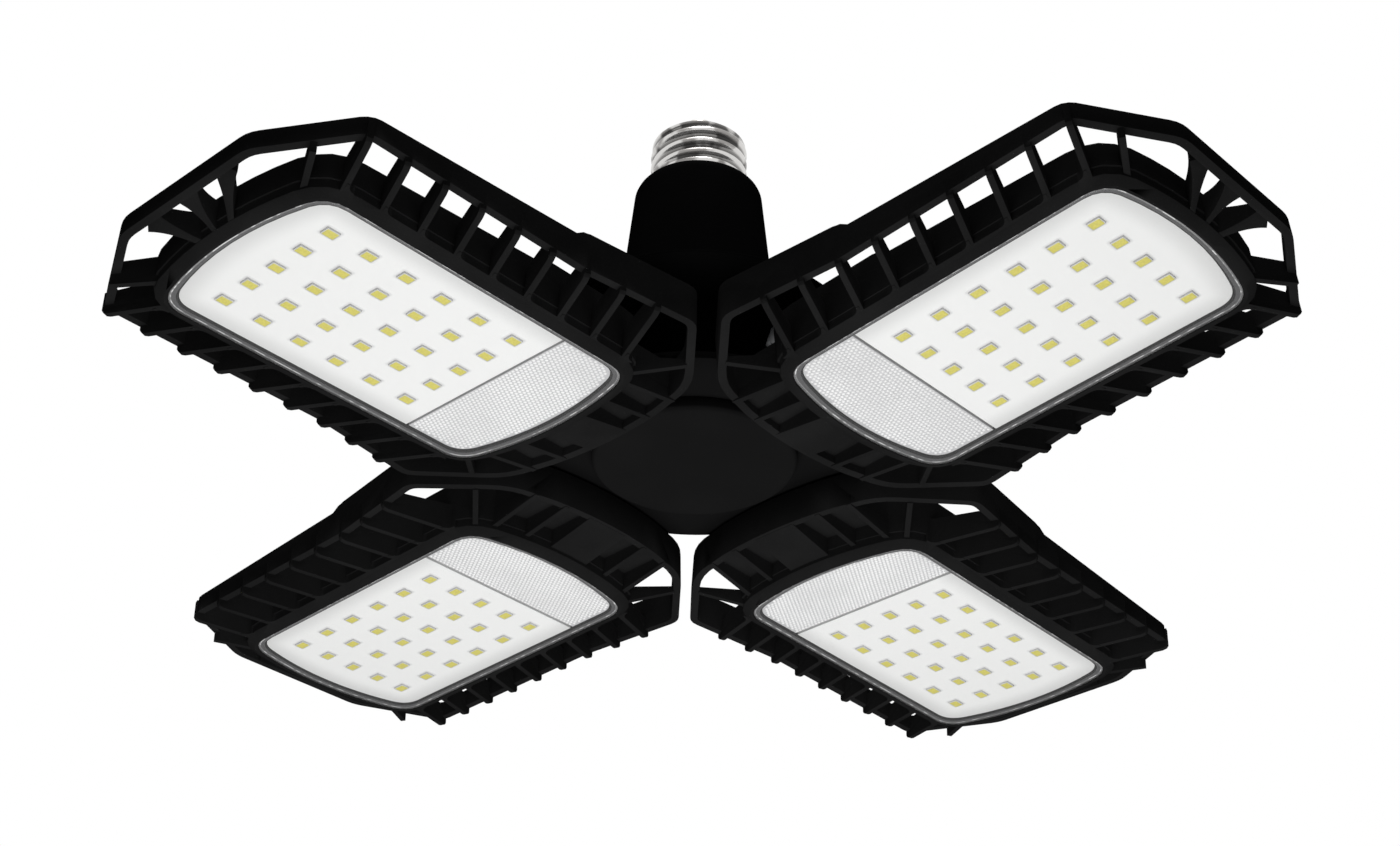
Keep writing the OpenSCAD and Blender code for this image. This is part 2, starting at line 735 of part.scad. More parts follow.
module bottom_cap() {
    base = lower_flange_h - cap_depth;
    color("#2a2b2d")
        at_leaf_plane()
            rotate_extrude()
                polygon([[0, base - 0.3], [cap_r * 0.5, base - 0.2], [cap_r - 2.4, base + 0.1],
                    [cap_r - 0.7, base + 0.5], [cap_r, base + 1.3], [cap_r, lower_flange_h],
                    [cap_r - cap_wall, lower_flange_h], [cap_r - cap_wall, base + cap_wall],
                    [0, base + cap_wall]]);
}

module hub_screws() {
    color("#8d9094")
        at_leaf_plane()
            for (a = [0:90:270]) rotate([0, 0, a])
                translate([hub_screw_r, 0, lower_flange_h]) mirror([0, 0, 1]) screw(screw_len);
}

module hinge_washers() {
    color("#b9bcc0")
        at_leaf_plane()
            for (a = AZIMUTH, s = [0, 1]) rotate([0, 0, a])
                mirror([0, s, 0])
                    translate([hinge_x, washer_y + washer_t, hinge_h]) rotate([90, 0, 0])
                        difference() {
                            cylinder(r = eye_r - 0.2, h = washer_t);
                            translate([0, 0, -1]) cylinder(r = bolt_r + bolt_gap, h = washer_t + 2);
                        }
}

module neck_housing() {
    top = neck_top_h;
    round_c = [neck_top_r - shoulder_r, top - shoulder_r];
    foot = [neck_foot_r, neck_foot_h];
    color("#161618")
        at_leaf_plane()
            difference() {
                rotate_extrude()
                    polygon(concat(
                        [[0, upper_flange_h], [flange_r - 0.2, upper_flange_h],
                            [flange_r, upper_flange_h + 0.2],
                            [flange_r, upper_flange_h + flange_edge], foot],
                        [for (a = [0:15:90]) round_c + shoulder_r * [cos(a), sin(a)]],
                        [[spigot_r, top], [spigot_r, top + spigot_h],
                            [0, top + spigot_h]]));
                translate([0, 0, upper_flange_h - 1])
                    cylinder(r = seat_disc_r + 0.2, h = 1 + seat_disc_t);
                translate([0, 0, upper_flange_h]) cylinder(r = column_bore_r, h = 6);
                rotate_extrude()
                    polygon([[0, upper_flange_h + 5], [column_bore_r, upper_flange_h + 5],
                        [neck_top_r - neck_wall, top - shoulder_r],
                        [shell_bore_r - neck_wall, top - neck_wall], [0, top - neck_wall]]);
                cylinder(r = shell_bore_r - neck_wall, h = top + spigot_h + 1);
            }
}

module junction_board() {
    r = column_bore_r - 0.2;
    base = upper_flange_h - junction_drop;
    foot = base + junction_t - 0.1;
    color("#2f6b3a")
        at_leaf_plane() {
            translate([0, 0, base]) cylinder(r = r, h = junction_t);
            for (a = [0:90:270]) rotate([0, 0, a + 45])
                translate([r - terminal[0] - 2.5, -terminal[1] / 2, foot]) cube(terminal);
            translate([0, 0, foot]) cylinder(r = terminal[0] - 1, h = terminal[2] + 2);
        }
}

// Radius of the rolled thread at an angle and height; its swell dies out at both ends
function thread_r(a, z) =
    let (t = (z - skirt_len) / thread_len, fade = min(1, 12 * t, 12 * (1 - t)))
    shell_r - thread_depth / 2 + thread_depth / 2 * fade
        * cos(a - 360 * (z - skirt_len) / thread_pitch);

module screw_shell() {
    sides = 24;
    rows_per_turn = 8;
    rows = ceil(rows_per_turn * thread_len / thread_pitch);
    foot_r = shell_r - thread_depth / 4;
    neck_r = shell_r - thread_depth - 0.1;
    function ring(r, z) = [for (a = [0:360 / sides:359]) [r * cos(a), r * sin(a), z]];
    rings = concat(
        [ring(shell_bore_r, 0), ring(foot_r, 0), ring(shell_r, 0.3),
            ring(shell_r, skirt_len - 0.5)],
        [for (k = [0:rows]) let (z = skirt_len + k * thread_len / rows)
            [for (a = [0:360 / sides:359]) [thread_r(a, z) * cos(a), thread_r(a, z) * sin(a), z]]],
        [ring(neck_r, shell_top - shell_end + 0.5), ring(shell_r - 1.9, shell_top - 0.9),
            ring(shell_r - 3.6, shell_top), ring(contact_r + 2.4, shell_top),
            ring(contact_r + 2.4, shell_top - shell_end - 1),
            ring(shell_bore_r, shell_top - shell_end - 1)]);
    n = len(rings);
    color("#c9c6c0")
        polyhedron(
            points = [for (r = rings) each r],
            faces = [for (i = [0:n - 1], j = [0:sides - 1], half = [0, 1])
                let (a = i * sides + j, b = i * sides + (j + 1) % sides,
                    c = (i + 1) % n * sides + (j + 1) % sides, d = (i + 1) % n * sides + j)
                half == 0 ? [a, c, b] : [a, d, c]]);
}

module contact_insulator() {
    color("#202022")
        difference() {
            rotate_extrude()
                polygon([[0, shell_top - shell_end - 1], [contact_r + 2.3, shell_top - shell_end - 1],
                    [contact_r + 2.3, shell_top], [contact_r + 3.2, shell_top],
                    [contact_r + 1, shell_top + insulator_len * 0.6],
                    [contact_r + 0.3, shell_top + insulator_len], [0, shell_top + insulator_len]]);
            translate([0, 0, shell_top + insulator_len - 1]) cylinder(r = contact_r - 0.6, h = 2);
            translate([0, 0, shell_top - 9]) cylinder(r = 1.05, h = 20);
        }
}

module centre_contact() {
    base = shell_top + insulator_len;
    color("#b8b4ac")
        rotate_extrude()
            polygon([[0, base - 6], [1, base - 6], [1, base - 1], [contact_r - 0.7, base - 1],
                [contact_r - 0.7, base], [contact_r, base], [contact_r, base + contact_rise * 0.15],
                [contact_r * 0.86, base + contact_rise * 0.55],
                [contact_r * 0.5, base + contact_rise * 0.87], [0, base + contact_rise]]);
}

screw_shell();
contact_insulator();
centre_contact();
neck_housing();
hub_body();
junction_board();
lower_flange();
bottom_cap();
hub_screws();
hinge_washers();
on_hub(0) leaf_frame();  // front_left_frame
on_hub(0) leaf_lens();  // front_left_lens
on_hub(0) leaf_lens_seal();  // front_left_lens_seal
on_hub(0) leaf_prism_panel();  // front_left_prism_panel
on_hub(0) leaf_led_board();  // front_left_led_board
on_hub(0) leaf_led_chips();  // front_left_led_chips
on_hub(0) leaf_driver_board();  // front_left_driver_board
on_hub(0) leaf_driver_cover();  // front_left_driver_cover
on_hub(0) leaf_hinge_bracket();  // front_left_hinge_bracket
on_hub(0) leaf_hinge_bolt();  // front_left_hinge_bolt
on_hub(0) leaf_hinge_nut();  // front_left_hinge_nut
on_hub(0) leaf_leaf_screws();  // front_left_leaf_screws
on_hub(1) leaf_frame();  // front_right_frame
on_hub(1) leaf_lens();  // front_right_lens
on_hub(1) leaf_lens_seal();  // front_right_lens_seal
on_hub(1) leaf_prism_panel();  // front_right_prism_panel
on_hub(1) leaf_led_board();  // front_right_led_board
on_hub(1) leaf_led_chips();  // front_right_led_chips
on_hub(1) leaf_driver_board();  // front_right_driver_board
on_hub(1) leaf_driver_cover();  // front_right_driver_cover
on_hub(1) leaf_hinge_bracket();  // front_right_hinge_bracket
on_hub(1) leaf_hinge_bolt();  // front_right_hinge_bolt
on_hub(1) leaf_hinge_nut();  // front_right_hinge_nut
on_hub(1) leaf_leaf_screws();  // front_right_leaf_screws
on_hub(2) leaf_frame();  // rear_left_frame
on_hub(2) leaf_lens();  // rear_left_lens
on_hub(2) leaf_lens_seal();  // rear_left_lens_seal
on_hub(2) leaf_prism_panel();  // rear_left_prism_panel
on_hub(2) leaf_led_board();  // rear_left_led_board
on_hub(2) leaf_led_chips();  // rear_left_led_chips
on_hub(2) leaf_driver_board();  // rear_left_driver_board
on_hub(2) leaf_driver_cover();  // rear_left_driver_cover
on_hub(2) leaf_hinge_bracket();  // rear_left_hinge_bracket
on_hub(2) leaf_hinge_bolt();  // rear_left_hinge_bolt
on_hub(2) leaf_hinge_nut();  // rear_left_hinge_nut
on_hub(2) leaf_leaf_screws();  // rear_left_leaf_screws
on_hub(3) leaf_frame();  // rear_right_frame
on_hub(3) leaf_lens();  // rear_right_lens
on_hub(3) leaf_lens_seal();  // rear_right_lens_seal
on_hub(3) leaf_prism_panel();  // rear_right_prism_panel
on_hub(3) leaf_led_board();  // rear_right_led_board
on_hub(3) leaf_led_chips();  // rear_right_led_chips
on_hub(3) leaf_driver_board();  // rear_right_driver_board
on_hub(3) leaf_driver_cover();  // rear_right_driver_cover
on_hub(3) leaf_hinge_bracket();  // rear_right_hinge_bracket
on_hub(3) leaf_hinge_bolt();  // rear_right_hinge_bolt
on_hub(3) leaf_hinge_nut();  // rear_right_hinge_nut
on_hub(3) leaf_leaf_screws();  // rear_right_leaf_screws
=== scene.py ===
"""Folding four-leaf garage light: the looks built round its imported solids.

Every leaf is drawn once in its own frame (X along the leaf's radius, Y across it,
Z up from the window) and is then placed by the hinge's azimuth and resting tilt.
"""

import json
import math

import bmesh
import bpy
from mathutils import Matrix, Vector


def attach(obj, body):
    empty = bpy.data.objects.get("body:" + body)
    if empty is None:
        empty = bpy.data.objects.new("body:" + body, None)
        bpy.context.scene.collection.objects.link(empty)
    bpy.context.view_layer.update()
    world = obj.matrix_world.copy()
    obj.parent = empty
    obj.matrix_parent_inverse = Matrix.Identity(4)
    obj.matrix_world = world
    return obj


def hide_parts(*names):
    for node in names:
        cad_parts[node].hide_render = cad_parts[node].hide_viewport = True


bl_info = {
    "name": "Folding garage light",
    "version": (1, 0, 0),
    "blender": (4, 5, 0),
    "location": "View3D > Sidebar > Garage light",
    "description": "Dresses the folding garage light's solids with detail and finishes",
    "category": "Object",
}

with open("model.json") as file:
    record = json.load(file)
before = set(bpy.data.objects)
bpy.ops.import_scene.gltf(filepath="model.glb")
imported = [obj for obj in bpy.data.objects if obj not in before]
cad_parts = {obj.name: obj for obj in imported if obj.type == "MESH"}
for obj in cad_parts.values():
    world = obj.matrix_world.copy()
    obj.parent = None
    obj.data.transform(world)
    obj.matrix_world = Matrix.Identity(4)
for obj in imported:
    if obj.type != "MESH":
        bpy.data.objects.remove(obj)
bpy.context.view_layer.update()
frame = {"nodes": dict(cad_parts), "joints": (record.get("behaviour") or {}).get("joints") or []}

MM = 0.001
LEAVES = ("front_left", "front_right", "rear_left", "rear_right")
JOINTS = {joint["name"]: joint for joint in frame["joints"]}
TOP_LIMIT = 90.0

# Drawn sizes of the leaf in its own frame, in millimetres, as in the part's source
HINGE_X, HINGE_H = 40.0, 25.5
WINDOW_X0, WINDOW_X1, WINDOW_HALF = 48.2, 144.5, 28.3
WINDOW_CORNER, WINDOW_RISE = 5.5, 4.5
LENS_H0, LENS_H1 = -0.15, 0.35
SEAL_H1 = 0.55
CHIP_H0, CHIP_H1 = 0.5, 1.0
BOARD_H1 = 2.6
BOARD_X0 = 71.2
DIVIDER = 0.8
BOARD_INSET = 1.8
CHIP_X0, CHIP_PITCH_X, CHIP_PITCH_Y = 78.5, 10.5, 9.0
CHIP_ROWS, CHIPS_PER_ROW = 6, 5
CHIP_L, CHIP_W = 3.5, 2.8
SHELL_R, THREAD_DEPTH, THREAD_PITCH = 13.1, 0.84, 3.63
SKIRT, THREAD_LEN, SHELL_END = 2.4, 12.6, 2.2
LAMP_DROP = HINGE_H - JOINTS["front_left_hinge"]["pos_m"][2] / MM

# How finely the dressing is drawn, and its own small sizes, in millimetres
OUTLINE_STEPS = 9
GRID, CUT_SNAP = 1.5, 1e-4
WELD_SEAL, WELD_SHELL = 1e-5, 1e-4
CORNERS = ((1, 1, 0), (-1, 1, 90), (-1, -1, 180), (1, -1, 270))
CORNER_TURNS = (0, 45, 90)
RIM_LEVELS = (0.0, 0.45, 1.0, 1.0)
PRISM_DEPTH = 1.5
BEAD_SIDES, BEAD_RADIUS, ROW_SPACING = 8, 0.47, 0.87
SHELL_SIDES, ROWS_PER_TURN, THREAD_FADE = 96, 18, 10
SHELL_WALL = 0.55
EYE_R, EYE_DEPTH = 7.3, 3.2
# Painted shade round each chip on the board, and towards the window's edge
CHIP_SHADE_REACH, CHIP_SHADE_END = 0.95, 0.3
EDGE_SHADE_SPAN = (0.2, 6.5)

# Rounding of the solids: metres, degrees and bevel segments
WELD_SOLID, FLAT_ANGLE, EDGE_SEGMENTS = 2e-6, 0.05, 2

# The stage, in metres and watts, and the camera worked out from the photograph
FLOOR_HALF, FLOOR_Z = 2.5, -0.62
WORLD_LIGHT, WORLD_SEEN = 0.02, 1.0
LIGHT_AIM = (0.0, 0.0, -0.08)
LIGHTS = (
    ("key", (0.0, -0.05, -0.58), 0.62, 2.65),
    ("top", (0.0, -0.2, 0.95), 0.5, 6.0),
)
CAMERA_PLACE = (-0.015012, -0.493530, -0.288919 - LAMP_DROP * MM)
CAMERA_AXES = (
    (0.999121, -0.040295, 0.011560),
    (0.031332, 0.534610, -0.844518),
    (0.027850, 0.844137, 0.535403),
)
CAMERA_LENS, CAMERA_SENSOR, CLIP_START = 59.223, 36.0, 0.01


# ---------------------------------------------------------------- sizes and colours

def length(name, text, value):
    """A length in the panel, in metres."""
    return bpy.props.FloatProperty(
        name=name, description=text, default=value, min=0.0, max=1.0,
        unit="LENGTH", precision=5)


def colour(name, text, value):
    """A colour in the panel."""
    return bpy.props.FloatVectorProperty(
        name=name, description=text, default=value, size=3, min=0, max=1,
        subtype="COLOR")


class LightSizes(bpy.types.PropertyGroup):
    """Sizes that the dressing adds to the solids"""

    frame_edge: length("Frame edge", "Rounding of the cast frames' edges", 0.00028)
    metal_edge: length("Fitting edge", "Rounding of brackets, covers and screws", 0.00018)
    hub_edge: length("Hub edge", "Rounding of the hub mouldings' edges", 0.00030)
    prism_pitch: length("Prism pitch", "Spacing of the prism panel's beads", 0.00112)
    prism_rise: length("Prism rise", "Height of one bead", 0.00030)
    chip_wall: length("Chip wall", "Width of the white frame round a chip", 0.00020)


class LightColours(bpy.types.PropertyGroup):
    """Colours of the finishes"""

    coating: colour("Coating", "Black powder coat of the frames", (0.0138, 0.0138, 0.0139))
    moulding: colour("Moulding", "Black plastic of the hub", (0.0075, 0.0075, 0.0076))
    cap: colour("Cap", "Black plastic of the round cap", (0.0098, 0.0098, 0.0099))
    board: colour("Board", "White solder mask", (0.95, 0.955, 0.945))
    phosphor: colour("Phosphor", "Yellow of the chips", (0.72, 0.65, 0.115))
    prism: colour("Prism", "Frosted prism panel", (0.93, 0.93, 0.93))
    nickel: colour("Nickel", "Plated shell", (0.66, 0.65, 0.635))


# ---------------------------------------------------------------- shader graph

class Sock:
    """A node socket that Python arithmetic can be written on, from either side."""

    def __init__(self, tree, socket):
        self.tree = tree
        self.socket = socket

    def _math(self, operation, *values):
        return self.tree.add("ShaderNodeMath", {"operation": operation},
                             dict(enumerate(values)))

    def __add__(self, other):
        return self._math("ADD", self, other)

    __radd__ = __add__

    def __sub__(self, other):
        return self._math("SUBTRACT", self, other)

    def __rsub__(self, other):
        return self._math("SUBTRACT", other, self)

    def __mul__(self, other):
        return self._math("MULTIPLY", self, other)

    __rmul__ = __mul__

    def __pow__(self, other):
        return self._math("POWER", self, other)

    def __rpow__(self, other):
        return self._math("POWER", other, self)

    def __mod__(self, other):
        return self._math("FLOORED_MODULO", self, other)

    def __rmod__(self, other):
        return self._math("FLOORED_MODULO", other, self)

    def __abs__(self):
        return self._math("ABSOLUTE", self)

    def most(self, other):
        return self._math("MAXIMUM", self, other)

    def step(self, low, high, at_low=0.0, at_high=1.0):
        """Smooth change from at_low to at_high as the value goes from low to high."""
        return self.tree.add(
            "ShaderNodeMapRange", {"interpolation_type": "SMOOTHSTEP"},
            {0: self, 1: low, 2: high, 3: at_low, 4: at_high})


class Finish:
    """A material made by code: one Principled shader and the nodes behind it."""

    def __init__(self, name, **values):
        self.material = bpy.data.materials.new(name)
        self.material.use_nodes = True
        self.nodes = self.material.node_tree.nodes
        self.links = self.material.node_tree.links
        self.nodes.clear()
        self.output = self.nodes.new("ShaderNodeOutputMaterial")
        self.shader = self.nodes.new("ShaderNodeBsdfPrincipled")
        self.links.new(self.shader.outputs[0], self.output.inputs[0])
        for label, value in values.items():
            self.put(label.replace("_", " "), value)

    def put(self, label, value):
        """Sets or links one socket of the Principled shader."""
        self._fill(self.shader.inputs[label], value)

    def _fill(self, socket, value):
        if isinstance(value, Sock):
            self.links.new(value.socket, socket)
        elif hasattr(value, "__len__") and len(value) == 3 and socket.type == "RGBA":
            socket.default_value = (*value, 1.0)
        else:
            socket.default_value = value

    def add(self, kind, settings=None, inputs=None, out=0):
        """Adds a node: its settings first, then its sockets' values or links."""
        node = self.nodes.new(kind)
        for key, value in (settings or {}).items():
            setattr(node, key, value)
        for key, value in (inputs or {}).items():
            self._fill(node.inputs[key], value)
        return Sock(self, node.outputs[out])

    def place(self):
        """Position on the unposed piece, in metres."""
        return self.add("ShaderNodeTexCoord", out="Object")

    def attribute(self, name, out="Vector"):
        """Value kept on the mesh's points."""
        return self.add("ShaderNodeAttribute", {"attribute_name": name}, out=out)

    def axes(self, vector):
        """The three parts of a vector."""
        node = self.add("ShaderNodeSeparateXYZ", inputs={0: vector}).socket.node
        return [Sock(self, node.outputs[i]) for i in range(3)]

    def noise(self, scale, detail=3.0, rough=0.55):
        """Cloudy noise with so many waves to the metre."""
        return self.add("ShaderNodeTexNoise", inputs={
            "Vector": self.place(), "Scale": scale, "Detail": detail,
            "Roughness": rough})

    def cell_edges(self, scale):
        """Distance to the edges of an irregular net of cells."""
        return self.add("ShaderNodeTexVoronoi", {"feature": "DISTANCE_TO_EDGE"}, {
            "Vector": self.place(), "Scale": scale})

    def mix(self, factor, first, second):
        """The first colour at factor 0, the second at 1."""
        return self.add("ShaderNodeMix", {"data_type": "RGBA"},
                        {0: factor, 6: first, 7: second}, out=2)

    def bump(self, height, distance, strength):
        """Fine relief that isn't modelled, as deep as distance in metres."""
        self.put("Normal", self.add("ShaderNodeBump", inputs={
            "Strength": strength, "Distance": distance, "Height": height}))


# ---------------------------------------------------------------- finishes

def scaled(rgb, factor):
    """A colour made brighter or darker."""
    return tuple(min(1.0, part * factor) for part in rgb)


def powder_coat(colours):
    """Fine black powder coat on the cast frames, with small paler specks."""
    finish = Finish("black_powder_coat", IOR=1.46, Specular_IOR_Level=0.0)
    grain = finish.noise(2600.0, 4.0, 0.62)
    cloud = finish.noise(42.0, 3.0)
    tone = finish.mix(cloud.step(0.35, 0.7), scaled(colours.coating, 0.88),
                      scaled(colours.coating, 1.14))
    finish.put("Base Color", finish.mix(grain.step(0.52, 0.78) * 0.35, tone,
                                        scaled(colours.coating, 2.0)))
    finish.put("Roughness", 0.50 + 0.14 * cloud)
    finish.bump(grain, 0.00004, 0.55)
    return finish.material


def black_moulding(name, base, roughness):
    """Injection-moulded black plastic with a fine spark-eroded grain."""
    finish = Finish(name, IOR=1.49, Specular_IOR_Level=0.0)
    grain = finish.noise(1900.0, 3.0, 0.6)
    cloud = finish.noise(30.0, 2.0)
    finish.put("Base Color", finish.mix(cloud.step(0.3, 0.75), scaled(base, 0.9),
                                        scaled(base, 1.12)))
    finish.put("Roughness", roughness - 0.04 + 0.08 * cloud)
    finish.bump(grain, 0.00003, 0.4)
    return finish.material


def plated_metal(name, base, roughness):
    """Plated metal with faint smudges and a fine grain."""
    finish = Finish(name, Metallic=1.0)
    smear = finish.noise(95.0, 4.0, 0.6)
    fine = finish.noise(1500.0, 2.0)
    finish.put("Base Color", finish.mix(smear.step(0.35, 0.72), scaled(base, 0.86), base))
    finish.put("Roughness", roughness + 0.10 * smear.step(0.45, 0.75))
    finish.bump(fine, 0.000015, 0.25)
    return finish.material


def rolled_nickel(colours):
    """Plated shell: painted reflections in bright and dark patches (the dark ones also rougher),
    painted highlights on the crests and painted shade in the valleys.
    """
    finish = Finish("nickel_plate", Metallic=1.0)
    crest = finish.attribute("crest", "Fac")
    # Patches of painted reflection: bright where this is 1, dark where it is 0; roughness
    # follows them too
    painted_reflection_patches = finish.noise(150.0, 2.0, 0.5).step(0.44, 0.56)
    fine = finish.noise(1500.0, 2.0)
    # Dark painted reflection, with painted shade in the valleys and a painted highlight on the
    # crests
    dark_painted_reflection = finish.mix(crest.step(0.1, 0.8), (0.045, 0.044, 0.043), (0.30, 0.29, 0.28))
    # Bright painted reflection, with painted shade in the valleys and a painted highlight on the
    # crests
    clean = finish.mix(crest.step(0.0, 0.6), (0.20, 0.195, 0.19), colours.nickel)
    finish.put("Base Color", finish.mix(painted_reflection_patches, dark_painted_reflection, clean))
    finish.put("Roughness", painted_reflection_patches.step(0.0, 1.0, 0.30, 0.16))
    finish.bump(fine, 0.000015, 0.25)
    return finish.material


def circuit_board():
    """Green solder mask with pale tracks and pads."""
    finish = Finish("green_circuit_board")
    tracks = finish.cell_edges(330.0).step(0.03, 0.06, 1.0, 0.0)
    blotch = finish.noise(120.0, 2.0)
    green = finish.mix(blotch, (0.020, 0.105, 0.040), (0.032, 0.150, 0.060))
    finish.put("Base Color", finish.mix(tracks * 0.5, green, (0.16, 0.34, 0.16)))
    finish.put("Roughness", 0.30 + 0.16 * blotch)
    finish.bump(tracks, 0.00003, 0.5)
    return finish.material


def white_board(colours):
    """White solder mask, with painted shade towards the window's edge and round each chip."""
    finish = Finish("white_chip_board")
    x, y, _ = finish.axes(finish.attribute("leaf"))
    along = abs(((x - (CHIP_X0 - CHIP_PITCH_X / 2)) % CHIP_PITCH_X) - CHIP_PITCH_X / 2)
    across = abs(((y + CHIP_PITCH_Y / 2) % CHIP_PITCH_Y) - CHIP_PITCH_Y / 2)
    dx = (along - CHIP_L / 2).most(0.0)
    dy = (across - CHIP_W / 2).most(0.0)
    away = (dx * dx + dy * dy) ** 0.5
    last_x = CHIP_X0 + (CHIP_ROWS - 0.5) * CHIP_PITCH_X
    last_y = CHIPS_PER_ROW / 2 * CHIP_PITCH_Y
    fitted = (x.step(last_x - CHIP_SHADE_END, last_x, 1.0, 0.0)
              * abs(y).step(last_y - CHIP_SHADE_END, last_y, 1.0, 0.0))
    # Painted shade round each chip
    chip_shade = away.step(0.0, CHIP_SHADE_REACH, 1.0, 0.0) * fitted
    edge = finish.attribute("edge", "Fac")
    # Painted shade towards the window's edge
    edge_shade = edge.step(*EDGE_SHADE_SPAN, 1.0, 0.0)
    mottle = finish.noise(55.0, 3.0)
    pale = finish.mix(edge_shade, colours.board, scaled(colours.board, 0.79))
    pale = finish.mix(mottle * 0.10, pale, scaled(colours.board, 0.9))
    # Grey painted shade round each chip over the board's colour
    finish.put("Base Color", finish.mix(chip_shade * 0.42, pale, (0.42, 0.42, 0.43)))
    finish.put("Roughness", 0.38 + 0.10 * mottle)
    finish.bump(finish.noise(900.0, 2.0), 0.00002, 0.3)
    return finish.material


def phosphor(colours):
    """Yellow silicone over the chip, with a greener rim and grainy body."""
    finish = Finish("chip_phosphor")
    grain = finish.noise(2400.0, 3.0)
    rim = finish.attribute("rim", "Fac")
    body = finish.mix(grain.step(0.35, 0.7), scaled(colours.phosphor, 0.92),
                      scaled(colours.phosphor, 1.1))
    finish.put("Base Color", finish.mix(rim * 0.55, body, (0.47, 0.50, 0.16)))
    finish.put("Roughness", 0.28 + 0.16 * grain)
    finish.bump(grain, 0.00003, 0.35)
    return finish.material


def chip_package():
    """White reflector frame of a chip."""
    finish = Finish("chip_package")
    mottle = finish.noise(1400.0, 2.0)
    finish.put("Base Color", finish.mix(mottle, (0.60, 0.60, 0.585), (0.70, 0.70, 0.69)))
    finish.put("Roughness", 0.40 + 0.12 * mottle)
    return finish.material


def prism_plastic(colours):
    """Frosted panel with a bead at each crossing and painted shade in the valleys between them.
    """
    finish = Finish("prism_plastic", IOR=1.49, Coat_Roughness=0.08)
    depth = finish.attribute("bead", "Fac")
    cloud = finish.noise(48.0, 3.0)
    # Painted shade mask: 0 in the valleys between the beads, rising to 1 on their tops
    bead_top_unshaded = depth.step(0.0, 0.75)
    bright = finish.mix(cloud.step(0.3, 0.7), scaled(colours.prism, 0.94),
                        scaled(colours.prism, 1.08))
    # Grey painted shade in the valleys between the beads
    finish.put("Base Color", finish.mix(bead_top_unshaded, (0.60, 0.60, 0.61), bright))
    finish.put("Roughness", 0.16 + 0.12 * cloud)
    finish.put("Coat Weight", 0.35 * bead_top_unshaded)
    return finish.material


def clear_cover():
    """Clear polycarbonate: the camera sees through it, with a soft gloss on top."""
    finish = Finish("clear_polycarbonate", Base_Color=(1.0, 1.0, 1.0), IOR=1.45)
    smear = finish.noise(60.0, 3.0)
    finish.put("Roughness", 0.03 + 0.06 * smear)
    edge = finish.attribute("edge", "Fac")
    finish.put("Alpha", edge.step(0.1, 0.5, 0.10, 0.03))
    return finish.material


def seal_rubber():
    """Grey silicone seal, with a painted highlight along its bead, broken into specks."""
    finish = Finish("grey_seal", IOR=1.45)
    bead = finish.attribute("edge", "Fac")
    cloud = finish.noise(160.0, 2.0)
    # Painted highlight along the bead, broken into bright specks by the glint noise
    painted_highlight_line = bead.step(0.28, 0.38) * bead.step(0.50, 0.62, 1.0, 0.0)
    glint = finish.noise(420.0, 1.0).step(0.50, 0.60, 0.22, 1.0)
    finish.put("Base Color", finish.mix(painted_highlight_line * glint, (0.070, 0.070, 0.072),
                                        (0.85, 0.85, 0.85)))
    finish.put("Roughness", 0.30 + 0.15 * cloud)
    finish.bump(cloud, 0.00003, 0.3)
    return finish.material


def insulator_glass():
    """Black glass with a faint swirl, round the shell's contact."""
    finish = Finish("black_insulator_glass", IOR=1.52)
    swirl = finish.noise(210.0, 3.0)
    finish.put("Base Color", finish.mix(swirl, (0.006, 0.006, 0.008),
                                        (0.018, 0.017, 0.020)))
    finish.put("Roughness", 0.10 + 0.14 * swirl)
    return finish.material


FINISHES = {}


def finish_for(node_part):
    """The finish of a node, by its name without the leaf's name."""
    return FINISHES[{
        "frame": "coat", "driver_cover": "coat", "hinge_bracket": "coat",
        "lens": "cover", "lens_seal": "seal", "prism_panel": "prism", "led_board": "board",
        "led_chips": "package", "driver_board": "circuit", "hinge_bolt": "dark_steel",
        "hinge_nut": "dark_steel", "leaf_screws": "steel", "screw_shell": "nickel",
        "contact_insulator": "glass", "centre_contact": "solder",
        "neck_housing": "moulding",
        "hub_body": "moulding", "junction_board": "circuit", "lower_flange": "moulding",
        "bottom_cap": "cap", "hub_screws": "steel", "hinge_washers": "steel",
    }[node_part]]


def make_finishes(colours):
    """Makes every finish anew from the panel's colours."""
    FINISHES.update(
        coat=powder_coat(colours), board=white_board(colours), phosphor=phosphor(colours),
        package=chip_package(), prism=prism_plastic(colours), cover=clear_cover(),
        seal=seal_rubber(), circuit=circuit_board(), glass=insulator_glass(),
        moulding=black_moulding("black_moulding", colours.moulding, 0.40),
        cap=black_moulding("cap_moulding", colours.cap, 0.46),
        nickel=rolled_nickel(colours),
        steel=plated_metal("zinc_steel", (0.50, 0.51, 0.52), 0.30),
        dark_steel=plated_metal("dark_zinc", (0.11, 0.112, 0.115), 0.36),
        solder=plated_metal("tinned_contact", (0.52, 0.50, 0.47), 0.34))


# ---------------------------------------------------------------- outlines of the leaf

def sag(half, rise, y):
    """How far an arc over +-half with the given rise falls back at y."""
    radius = (half * half + rise * rise) / (2 * rise)
    return radius - math.sqrt(max(radius * radius - y * y, 0.0))


def curve(a, b, c, t):
    """Point of the quadratic curve from a to c with the corner b."""
    return tuple(a[i] * (1 - t) ** 2 + 2 * b[i] * t * (1 - t) + c[i] * t * t
                 for i in range(2))


